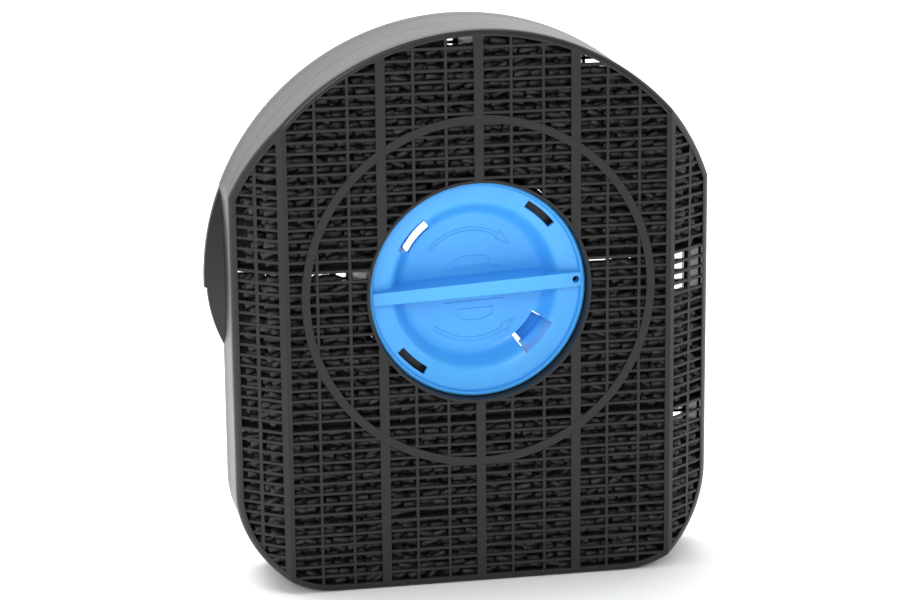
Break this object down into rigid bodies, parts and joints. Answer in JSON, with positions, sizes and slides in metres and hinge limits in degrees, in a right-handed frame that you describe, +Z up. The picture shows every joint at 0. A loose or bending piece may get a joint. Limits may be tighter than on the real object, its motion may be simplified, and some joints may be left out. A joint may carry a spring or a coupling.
{
  "type": "carbon filter cassette",
  "caption": "D-shaped black plastic carbon filter cassette with lattice faces and a blue quarter-turn knob in a central well.",
  "frame": {"origin": "on the surface it stands on, under the middle of the case's bounding box", "axes": "+X to the right seen from the front, +Y from the lattice front to the back, +Z up; the knob's axis runs along Y at 125.4 mm up"},
  "size_m": [0.2182, 0.048, 0.2348],
  "materials": {
    "black_plastic": "injection-moulded black plastic, satin on the lattice and glossy on the walls",
    "blue_plastic": "satin sky-blue moulded plastic",
    "charcoal": "dull extruded charcoal pellets"
  },
  "bodies": {
    "case": {"front_cover": "black_plastic", "knob_well": "black_plastic", "rear_shell": "black_plastic", "rear_grille": "black_plastic", "inner_frame": "black_plastic", "carbon_bottom_far_left": "charcoal", "carbon_bottom_left": "charcoal", "carbon_bottom_inner_left": "charcoal", "carbon_bottom_inner_right": "charcoal", "carbon_bottom_right": "charcoal", "carbon_bottom_far_right": "charcoal", "carbon_middle_far_left": "charcoal", "carbon_middle_left": "charcoal", "carbon_middle_inner_left": "charcoal", "carbon_middle_inner_right": "charcoal", "carbon_middle_right": "charcoal", "carbon_middle_far_right": "charcoal", "carbon_top_far_left": "charcoal", "carbon_top_left": "charcoal", "carbon_top_inner_left": "charcoal", "carbon_top_inner_right": "charcoal", "carbon_top_right": "charcoal", "carbon_top_far_right": "charcoal"},
    "knob": {"twist_knob": "blue_plastic"}
  },
  "joints": [
    {"name": "knob_turn", "type": "hinge", "parent": "case", "child": "knob", "pos_m": [0, 0, 0.1254], "axis": [0, 1, 0], "range_deg": [0, 90]}
  ]
}
